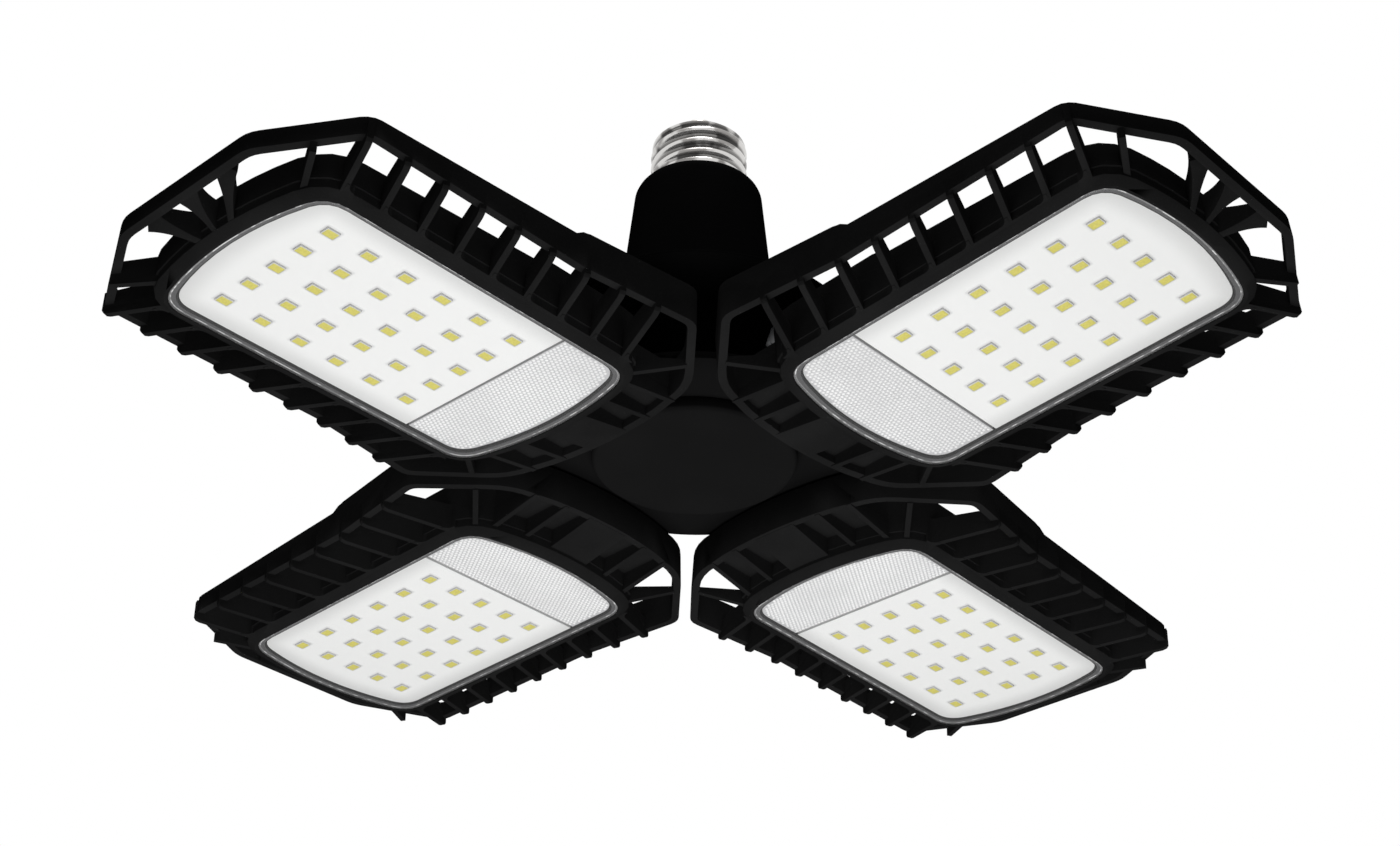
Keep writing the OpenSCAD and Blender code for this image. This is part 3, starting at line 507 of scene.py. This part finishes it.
def window_outline(inset):
    """The window's outline moved inwards by inset, counter-clockwise, in millimetres."""
    steps = OUTLINE_STEPS
    x0, x1 = WINDOW_X0 + inset, WINDOW_X1 - inset
    half, corner = WINDOW_HALF - inset, WINDOW_CORNER - inset / 2
    y = half - corner
    start = [(x0 + sag(half, WINDOW_RISE, y * i / steps), y * i / steps)
             for i in range(steps)]
    a = (x0 + sag(half, WINDOW_RISE, y), y)
    turn = [curve(a, (x0 + WINDOW_RISE, half), (x0 + WINDOW_RISE + corner, half),
                  i / steps) for i in range(steps + 1)]
    b = (x1 - WINDOW_RISE - corner, half)
    back = [curve(b, (x1 - WINDOW_RISE, half), (x1 - sag(half, WINDOW_RISE, y), y),
                  i / steps) for i in range(steps + 1)]
    end = [(x1 - sag(half, WINDOW_RISE, y * i / steps), y * i / steps)
           for i in range(steps - 1, -1, -1)]
    upper = start + turn + back + end
    lower = [(x, -y) for x, y in upper if y > 0]
    return lower + upper[::-1]


def clipped(outline, low, high):
    """The part of a convex outline with low <= x <= high."""
    def cut(points, inside, where):
        result = []
        for p, q in zip(points, points[1:] + points[:1]):
            if inside(p):
                result.append(p)
            if inside(p) != inside(q):
                t = (where - p[0]) / (q[0] - p[0])
                result.append((where, p[1] + t * (q[1] - p[1])))
        return result
    outline = cut(outline, lambda p: p[0] >= low, low)
    return cut(outline, lambda p: p[0] <= high, high)


def edge_distance(outline, point):
    """Distance from a point to an outline."""
    best = 1e9
    for a, b in zip(outline, outline[1:] + outline[:1]):
        dx, dy = b[0] - a[0], b[1] - a[1]
        span = dx * dx + dy * dy or 1e-12
        px, py = point[0] - a[0], point[1] - a[1]
        t = min(1.0, max(0.0, (px * dx + py * dy) / span))
        best = min(best, math.hypot(px - t * dx, py - t * dy))
    return best


def inside(outline, point):
    """True when the point lies in the counter-clockwise convex outline."""
    return all((b[0] - a[0]) * (point[1] - a[1]) - (b[1] - a[1]) * (point[0] - a[0]) >= 0
               for a, b in zip(outline, outline[1:] + outline[:1]))


# ---------------------------------------------------------------- placing and joining

def leaf_matrix(leaf):
    """From the leaf's own frame in millimetres to the row frame in metres."""
    joint = JOINTS[leaf + "_hinge"]
    px, py, pz = joint["pos_m"]
    azimuth = math.atan2(py, px)
    tilt = math.radians(TOP_LIMIT - joint["range_deg"][1])
    return (Matrix.Rotation(azimuth, 4, "Z")
            @ Matrix.Translation((HINGE_X * MM, 0.0, pz))
            @ Matrix.Rotation(-tilt, 4, "Y")
            @ Matrix.Translation((-HINGE_X * MM, 0.0, -HINGE_H * MM))
            @ Matrix.Scale(MM, 4))


def new_piece(name, mesh, matrix, body, nodes, material):
    """A piece of the dressing that rides on a body and stands in for its nodes."""
    mesh.transform(matrix)
    piece = bpy.data.objects.new(name, mesh)
    bpy.context.scene.collection.objects.link(piece)
    mesh.materials.clear()
    mesh.materials.append(material)
    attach(piece, body)
    if nodes:
        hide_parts(*nodes)
    return piece


def smooth_by_angle(mesh, degrees=35.0):
    """Smooth shading, with edges sharper than the angle kept sharp."""
    mesh.polygons.foreach_set("use_smooth", [True] * len(mesh.polygons))
    mesh.set_sharp_from_angle(angle=math.radians(degrees))


def rounded_copy(node, body, width, material, angle=30.0):
    """A copy of a node's mesh with its flats joined and its edges rounded."""
    source = frame["nodes"][node]
    work = bmesh.new()
    work.from_mesh(source.data)
    bmesh.ops.remove_doubles(work, verts=work.verts, dist=WELD_SOLID)
    bmesh.ops.dissolve_limit(work, angle_limit=math.radians(FLAT_ANGLE),
                             verts=work.verts, edges=work.edges)
    mesh = bpy.data.meshes.new(node + "_dressed")
    work.to_mesh(mesh)
    work.free()
    piece = new_piece(node + "_dressed", mesh, Matrix(), body, [node], material)
    bevel = piece.modifiers.new("edges", "BEVEL")
    bevel.width = width
    bevel.segments = EDGE_SEGMENTS
    bevel.limit_method = "ANGLE"
    bevel.angle_limit = math.radians(angle)
    bevel.miter_outer = "MITER_SHARP"
    apply_modifiers(piece)
    smooth_by_angle(piece.data)
    return piece


def apply_modifiers(piece):
    """Puts the modified mesh in the place of the piece's own."""
    graph = bpy.context.evaluated_depsgraph_get()
    graph.update()
    mesh = bpy.data.meshes.new_from_object(piece.evaluated_get(graph), depsgraph=graph)
    old = piece.data
    piece.modifiers.clear()
    piece.data = mesh
    bpy.data.meshes.remove(old)


def clean(mesh, weld=0.0, outwards=True):
    """Welds points nearer than weld and turns the faces outwards."""
    work = bmesh.new()
    work.from_mesh(mesh)
    if weld:
        bmesh.ops.remove_doubles(work, verts=work.verts, dist=weld)
    if outwards:
        bmesh.ops.recalc_face_normals(work, faces=work.faces)
    work.to_mesh(mesh)
    work.free()


def mesh_from(name, points, faces):
    """A mesh with its faces turned outwards."""
    mesh = bpy.data.meshes.new(name)
    mesh.from_pydata(points, [], faces)
    mesh.validate()
    clean(mesh)
    return mesh


def circle(radius, z, sides):
    """Points round the Z axis."""
    return [(radius * math.cos(2 * math.pi * k / sides),
             radius * math.sin(2 * math.pi * k / sides), z) for k in range(sides)]


def stack_of_rings(rings, capped=True):
    """Points and faces of a skin through rings with equally many points."""
    count = len(rings[0])
    points = [p for ring in rings for p in ring]
    faces = []
    for level in range(len(rings) - 1):
        for i in range(count):
            j = (i + 1) % count
            a, b = level * count, (level + 1) * count
            faces.append((a + i, a + j, b + j, b + i))
    if capped:
        faces.append(tuple(range(count))[::-1])
        faces.append(tuple(range((len(rings) - 1) * count, len(rings) * count)))
    return points, faces


def set_values(mesh, name, values):
    """Keeps one number for each point for the materials."""
    layer = mesh.attributes.new(name, "FLOAT", "POINT")
    layer.data.foreach_set("value", values)


def set_places(mesh):
    """Keeps each point's place in the leaf's frame for the materials."""
    layer = mesh.attributes.new("leaf", "FLOAT_VECTOR", "POINT")
    flat = [value for vertex in mesh.vertices for value in vertex.co]
    layer.data.foreach_set("vector", flat)


# ---------------------------------------------------------------- leaf pieces

def cover_mesh():
    """Clear window cover with polished chamfers."""
    levels = ((0.22, LENS_H0), (0.05, LENS_H0 + 0.10), (0.0, LENS_H0 + 0.22),
              (0.0, LENS_H1 - 0.06), (0.06, LENS_H1))
    rings = [[(x, y, h) for x, y in window_outline(inset)] for inset, h in levels]
    face = [[(x, y, LENS_H0) for x, y in window_outline(inset)] for inset in (1.4, 0.7)]
    back = [[(x, y, LENS_H1) for x, y in window_outline(inset)] for inset in (0.7, 1.4)]
    points, faces = stack_of_rings(face + rings + back)
    mesh = mesh_from("cover", points, faces)
    outline = window_outline(0.0)
    set_values(mesh, "edge", [edge_distance(outline, v.co) for v in mesh.vertices])
    return mesh


def seal_mesh():
    """Seal with a raised bead, from the cover's back to the ledge."""
    profile = ((0.05, SEAL_H1), (0.05, LENS_H1 + 0.02), (0.30, LENS_H1 + 0.02),
               (0.45, LENS_H1 + 0.005), (0.62, LENS_H1 + 0.0), (0.80, LENS_H1 + 0.02),
               (1.30, LENS_H1 + 0.03), (1.30, SEAL_H1))
    rings = [[(x, y, h) for x, y in window_outline(inset)] for inset, h in profile]
    points, faces = stack_of_rings(rings + rings[:1], capped=False)
    mesh = mesh_from("seal", points, faces)
    clean(mesh, WELD_SEAL, outwards=False)
    outline = window_outline(0.0)
    set_values(mesh, "edge", [edge_distance(outline, v.co) for v in mesh.vertices])
    return mesh


def board_mesh():
    """Board cut to the window's outline, gridded so that its shading can vary."""
    base = clipped(window_outline(BOARD_INSET), BOARD_X0, WINDOW_X1)
    work = bmesh.new()
    corners = [work.verts.new((x, y, CHIP_H1)) for x, y in base]
    face = work.faces.new(corners)
    grown = bmesh.ops.extrude_face_region(work, geom=[face])
    bmesh.ops.translate(work, vec=(0, 0, BOARD_H1 - CHIP_H1),
                        verts=[part for part in grown["geom"]
                               if isinstance(part, bmesh.types.BMVert)])
    for axis, low, high in ((0, BOARD_X0, WINDOW_X1), (1, -WINDOW_HALF, WINDOW_HALF)):
        place = low + GRID
        while place < high:
            normal = (1, 0, 0) if axis == 0 else (0, 1, 0)
            point = (place, 0, 0) if axis == 0 else (0, place, 0)
            everything = work.verts[:] + work.edges[:] + work.faces[:]
            bmesh.ops.bisect_plane(work, geom=everything, plane_co=point,
                                   plane_no=normal, dist=CUT_SNAP)
            place += GRID
    bmesh.ops.recalc_face_normals(work, faces=work.faces)
    mesh = bpy.data.meshes.new("board")
    work.to_mesh(mesh)
    work.free()
    set_places(mesh)
    outline = window_outline(BOARD_INSET)
    set_values(mesh, "edge", [edge_distance(outline, v.co) for v in mesh.vertices])
    return mesh


def chip_meshes(wall):
    """All chips of one leaf: reflector frames, and the phosphor inside them."""
    frames, pads, rims = ([], []), ([], []), []
    for i in range(CHIP_ROWS):
        for j in range(CHIPS_PER_ROW):
            cx = CHIP_X0 + i * CHIP_PITCH_X
            cy = (j - (CHIPS_PER_ROW - 1) / 2) * CHIP_PITCH_Y

            def ring(inset, h, corner):
                a, b = CHIP_L / 2 - inset, CHIP_W / 2 - inset
                result = []
                for sx, sy, start in CORNERS:
                    for turn in CORNER_TURNS:
                        angle = math.radians(start + turn)
                        result.append((
                            cx + sx * (a - corner) + corner * math.cos(angle),
                            cy + sy * (b - corner) + corner * math.sin(angle), h))
                return result

            face = CHIP_H0
            body = [ring(wall + 0.10, face + 0.20, 0.20), ring(wall, face + 0.02, 0.22),
                    ring(0.10, face, 0.16), ring(0.02, face + 0.05, 0.18),
                    ring(0.0, face + 0.15, 0.18), ring(0.0, CHIP_H1, 0.18)]
            pad = [ring(wall + 0.35, face + 0.035, 0.12),
                   ring(wall + 0.12, face + 0.05, 0.16),
                   ring(wall + 0.04, face + 0.10, 0.20),
                   ring(wall + 0.06, face + 0.19, 0.20)]
            for (points, faces), rings in ((frames, body), (pads, pad)):
                first = len(points)
                new_points, new_faces = stack_of_rings(rings)
                points.extend(new_points)
                faces.extend(tuple(first + k for k in f) for f in new_faces)
            rims.extend(level for level in RIM_LEVELS
                        for _ in range(len(CORNERS) * len(CORNER_TURNS)))
    frame_mesh = mesh_from("chip_frames", *frames)
    pad_mesh = mesh_from("chip_pads", *pads)
    set_values(pad_mesh, "rim", rims)
    return frame_mesh, pad_mesh


def prism_mesh(pitch, rise):
    """Panel with staggered rows of small round beads on its front."""
    limit = BOARD_X0 - DIVIDER
    base = clipped(window_outline(BOARD_INSET), WINDOW_X0, limit)
    front, back = BOARD_H1 - PRISM_DEPTH, BOARD_H1
    points = [(x, y, front) for x, y in base] + [(x, y, back) for x, y in base]
    count = len(base)
    faces = [tuple(range(count))[::-1], tuple(range(count, 2 * count))]
    faces += [(i, (i + 1) % count, count + (i + 1) % count, count + i)
              for i in range(count)]
    depth = [0.0] * len(points)
    safe = window_outline(BOARD_INSET + pitch * 0.45)
    sides = BEAD_SIDES
    radius = pitch * BEAD_RADIUS
    row = 0
    x = limit - pitch * 0.55
    while x > WINDOW_X0:
        y = -WINDOW_HALF + (row % 2) * pitch / 2
        while y < WINDOW_HALF:
            if inside(safe, (x, y)):
                first = len(points)
                for spread, lift, level in ((1.0, 0.0, 0.1), (0.72, 0.62, 0.75),
                                            (0.36, 0.93, 1.0)):
                    for k in range(sides):
                        angle = 2 * math.pi * k / sides
                        points.append((x + radius * spread * math.cos(angle),
                                       y + radius * spread * math.sin(angle),
                                       front + 0.02 - rise * lift))
                        depth.append(level)
                for level in range(2):
                    for k in range(sides):
                        a, b = first + level * sides, first + (level + 1) * sides
                        j = (k + 1) % sides
                        faces.append((a + k, b + k, b + j, a + j))
                points.append((x, y, front + 0.02 - rise))
                depth.append(1.0)
                top = first + 2 * sides
                faces += [(top + k, len(points) - 1, top + (k + 1) % sides)
                          for k in range(sides)]
                faces.append(tuple(first + k for k in range(sides)))
            y += pitch
        x -= pitch * ROW_SPACING
        row += 1
    mesh = mesh_from("prism", points, faces)
    if len(mesh.vertices) != len(depth):
        raise RuntimeError("the prism panel lost points")
    set_values(mesh, "bead", depth)
    return mesh


# ---------------------------------------------------------------- hub pieces

def shell_mesh():
    """Rolled screw shell: rounded crests, narrower valleys, and a turned-out lip."""
    sides = SHELL_SIDES
    low, high = SKIRT, SKIRT + THREAD_LEN
    bore = SHELL_R - THREAD_DEPTH - SHELL_WALL

    def ring(radius, z):
        return circle(radius, z, sides)

    rings = [ring(bore, 0.0), ring(SHELL_R - 0.25, 0.0), ring(SHELL_R - 0.02, 0.15),
             ring(SHELL_R - 0.02, 0.45), ring(SHELL_R - 0.30, 0.75),
             ring(SHELL_R - 0.34, SKIRT - 0.6)]
    rows = math.ceil(ROWS_PER_TURN * THREAD_LEN / THREAD_PITCH)
    for row in range(rows + 1):
        z = low + (high - low) * row / rows
        t = (z - low) / (high - low)
        fade = min(1.0, THREAD_FADE * t, THREAD_FADE * (1 - t))
        points = []
        for k in range(sides):
            angle = 2 * math.pi * k / sides
            wave = math.cos(angle - 2 * math.pi * (z - low) / THREAD_PITCH)
            swell = (0.5 + 0.5 * wave) ** 0.85
            radius = SHELL_R - 0.02 - THREAD_DEPTH * (0.42 + fade * (0.58 - swell))
            points.append((radius * math.cos(angle), radius * math.sin(angle), z))
        rings.append(points)
    top = high + SHELL_END
    neck = SHELL_R - THREAD_DEPTH - 0.15
    rings += [ring(neck, high + 0.45), ring(neck - 0.35, high + 0.95),
              ring(neck - 1.1, high + 1.45), ring(neck - 2.1, top - 0.25),
              ring(neck - 2.9, top - 0.06), ring(neck - 3.4, top - 0.01),
              ring(EYE_R, top - 0.01), ring(EYE_R, top - EYE_DEPTH),
              ring(bore, top - EYE_DEPTH)]
    points, faces = stack_of_rings(rings + rings[:1], capped=False)
    mesh = mesh_from("shell", points, faces)
    clean(mesh, WELD_SHELL)
    low_r = SHELL_R - THREAD_DEPTH
    set_values(mesh, "crest", [min(1.0, max(0.0, (math.hypot(v.co.x, v.co.y) - low_r)
                                            / THREAD_DEPTH)) for v in mesh.vertices])
    return mesh


# ---------------------------------------------------------------- operators

def sizes():
    """The panel's sizes, in metres."""
    return bpy.context.scene.light_sizes


def colours():
    """The panel's colours."""
    return bpy.context.scene.light_colours


class LIGHT_OT_finishes(bpy.types.Operator):
    """Make the finishes and put them on the solids that stay visible"""

    bl_idname = "light.finishes"
    bl_label = "Finishes"

    def execute(self, context):
        make_finishes(colours())
        for name, node in frame["nodes"].items():
            part = name
            for leaf in LEAVES:
                if name.startswith(leaf + "_"):
                    part = name[len(leaf) + 1:]
            material = finish_for(part)
            node.data.materials.clear()
            node.data.materials.append(material)
        return {"FINISHED"}


class LIGHT_OT_castings(bpy.types.Operator):
    """Round the edges of the frames, covers, brackets, bolts and screws"""

    bl_idname = "light.castings"
    bl_label = "Castings and fittings"

    def execute(self, context):
        fitting = sizes().metal_edge
        for leaf in LEAVES:
            for part, width, finish, angle in (
                    ("frame", sizes().frame_edge, "coat", 32.0),
                    ("driver_cover", fitting * 1.6, "coat", 30.0),
                    ("hinge_bracket", fitting * 1.6, "coat", 30.0),
                    ("hinge_bolt", fitting * 1.4, "dark_steel", 30.0),
                    ("hinge_nut", fitting * 1.4, "dark_steel", 30.0),
                    ("leaf_screws", fitting, "steel", 30.0)):
                rounded_copy(f"{leaf}_{part}", leaf + "_leaf", width, FINISHES[finish],
                             angle)
        return {"FINISHED"}


class LIGHT_OT_windows(bpy.types.Operator):
    """Build each window: clear cover, seal, chip board, chips and prism panel"""

    bl_idname = "light.windows"
    bl_label = "Windows"

    def execute(self, context):
        for leaf in LEAVES:
            body = leaf + "_leaf"
            matrix = leaf_matrix(leaf)

            def add(part, mesh, material, replaced=True, suffix=""):
                node = f"{leaf}_{part}"
                return new_piece(f"{node}{suffix or '_dressed'}", mesh, matrix, body,
                                 [node] if replaced else [], material)

            cover = add("lens", cover_mesh(), FINISHES["cover"])
            smooth_by_angle(cover.data, 60.0)
            smooth_by_angle(add("lens_seal", seal_mesh(), FINISHES["seal"]).data, 60.0)
            add("led_board", board_mesh(), FINISHES["board"])
            chip_frames, chip_pads = chip_meshes(sizes().chip_wall / MM)
            smooth_by_angle(add("led_chips", chip_frames, FINISHES["package"]).data, 40.0)
            pads = add("led_chips", chip_pads, FINISHES["phosphor"], False, "_phosphor")
            smooth_by_angle(pads.data, 70.0)
            panel = add("prism_panel",
                        prism_mesh(sizes().prism_pitch / MM, sizes().prism_rise / MM),
                        FINISHES["prism"])
            smooth_by_angle(panel.data, 50.0)
        return {"FINISHED"}


class LIGHT_OT_hub(bpy.types.Operator):
    """Round the hub's mouldings and its small parts"""

    bl_idname = "light.hub"
    bl_label = "Hub"

    def execute(self, context):
        edge = sizes().hub_edge
        for node, width, finish in (
                ("neck_housing", edge, "moulding"), ("hub_body", edge, "moulding"),
                ("lower_flange", edge, "moulding"), ("bottom_cap", edge, "cap"),
                ("junction_board", sizes().metal_edge, "circuit"),
                ("hub_screws", sizes().metal_edge, "steel"),
                ("hinge_washers", sizes().metal_edge, "steel"),
                ("contact_insulator", sizes().metal_edge, "glass"),
                ("centre_contact", sizes().metal_edge, "solder")):
            rounded_copy(node, "hub", width, FINISHES[finish])
        return {"FINISHED"}


class LIGHT_OT_screw_shell(bpy.types.Operator):
    """Build the rolled screw shell"""

    bl_idname = "light.screw_shell"
    bl_label = "Screw shell"

    def execute(self, context):
        shell = new_piece("screw_shell_dressed", shell_mesh(), Matrix.Scale(MM, 4), "hub",
                          ["screw_shell"], FINISHES["nickel"])
        smooth_by_angle(shell.data, 50.0)
        return {"FINISHED"}


def area_light(name, place, target, size, power):
    """A round lamp of the stage, aimed at a point and hidden from the camera."""
    data = bpy.data.lights.new(name, "AREA")
    data.shape = "DISK"
    data.size = size
    data.energy = power
    lamp = bpy.data.objects.new(name, data)
    lamp.location = place
    aim = Vector(target) - Vector(place)
    lamp.rotation_euler = aim.to_track_quat("-Z", "Y").to_euler()
    bpy.context.scene.collection.objects.link(lamp)
    lamp.visible_camera = False


class LIGHT_OT_stage(bpy.types.Operator):
    """Add the floor, the lights, the white surround and the camera"""

    bl_idname = "light.stage"
    bl_label = "Stage"

    def execute(self, context):
        scene = context.scene
        mesh = bpy.data.meshes.new("floor")
        corners = [(-FLOOR_HALF, -FLOOR_HALF, FLOOR_Z), (FLOOR_HALF, -FLOOR_HALF, FLOOR_Z),
                   (FLOOR_HALF, FLOOR_HALF, FLOOR_Z), (-FLOOR_HALF, FLOOR_HALF, FLOOR_Z)]
        mesh.from_pydata(corners, [], [(0, 1, 2, 3)])
        floor = bpy.data.objects.new("floor", mesh)
        scene.collection.objects.link(floor)
        floor_finish = Finish("pale_floor", Base_Color=(0.82, 0.82, 0.82), Roughness=0.7)
        mesh.materials.append(floor_finish.material)

        world = bpy.data.worlds.new("white_surround")
        scene.world = world
        world.use_nodes = True
        tree = world.node_tree
        tree.nodes.clear()
        output = tree.nodes.new("ShaderNodeOutputWorld")
        dim = tree.nodes.new("ShaderNodeBackground")
        dim.inputs[0].default_value = (1.0, 1.0, 1.0, 1.0)
        dim.inputs[1].default_value = WORLD_LIGHT
        white = tree.nodes.new("ShaderNodeBackground")
        white.inputs[0].default_value = (1.0, 1.0, 1.0, 1.0)
        white.inputs[1].default_value = WORLD_SEEN
        mix = tree.nodes.new("ShaderNodeMixShader")
        path = tree.nodes.new("ShaderNodeLightPath")
        seen = path.outputs["Is Camera Ray"]
        for ray in ("Is Glossy Ray", "Is Transmission Ray"):
            either = tree.nodes.new("ShaderNodeMath")
            either.operation = "MAXIMUM"
            tree.links.new(seen, either.inputs[0])
            tree.links.new(path.outputs[ray], either.inputs[1])
            seen = either.outputs[0]
        tree.links.new(seen, mix.inputs[0])
        tree.links.new(dim.outputs[0], mix.inputs[1])
        tree.links.new(white.outputs[0], mix.inputs[2])
        tree.links.new(mix.outputs[0], output.inputs[0])

        for name, place, size, power in LIGHTS:
            area_light(name, place, LIGHT_AIM, size, power)

        right, down, ahead = (Vector(axis) for axis in CAMERA_AXES)
        turn = Matrix((right, -down, -ahead)).transposed().to_4x4()
        data = bpy.data.cameras.new("camera")
        data.sensor_width = CAMERA_SENSOR
        data.lens = CAMERA_LENS
        data.clip_start = CLIP_START
        camera = bpy.data.objects.new("camera", data)
        camera.matrix_world = Matrix.Translation(CAMERA_PLACE) @ turn
        scene.collection.objects.link(camera)
        scene.camera = camera
        scene.view_settings.view_transform = "Standard"
        return {"FINISHED"}


STEPS = (LIGHT_OT_finishes, LIGHT_OT_castings, LIGHT_OT_windows, LIGHT_OT_hub,
         LIGHT_OT_screw_shell, LIGHT_OT_stage)


class LIGHT_PT_panel(bpy.types.Panel):
    """Lists the light's sizes, colours and building steps"""

    bl_idname = "LIGHT_PT_panel"
    bl_label = "Garage light"
    bl_space_type = "VIEW_3D"
    bl_region_type = "UI"
    bl_category = "Garage light"

    def draw(self, context):
        layout = self.layout
        for group in (context.scene.light_sizes, context.scene.light_colours):
            box = layout.box()
            for name in type(group).__annotations__:
                box.prop(group, name)
        for step in STEPS:
            layout.operator(step.bl_idname)


CLASSES = (LightSizes, LightColours) + STEPS + (LIGHT_PT_panel,)


def register():
    for entry in CLASSES:
        bpy.utils.register_class(entry)
    bpy.types.Scene.light_sizes = bpy.props.PointerProperty(type=LightSizes)
    bpy.types.Scene.light_colours = bpy.props.PointerProperty(type=LightColours)


def unregister():
    del bpy.types.Scene.light_colours
    del bpy.types.Scene.light_sizes
    for entry in reversed(CLASSES):
        bpy.utils.unregister_class(entry)


def main():
    register()
    for step in STEPS:
        group, name = step.bl_idname.split(".")
        getattr(getattr(bpy.ops, group), name)()


if __name__ == "__main__":
    main()
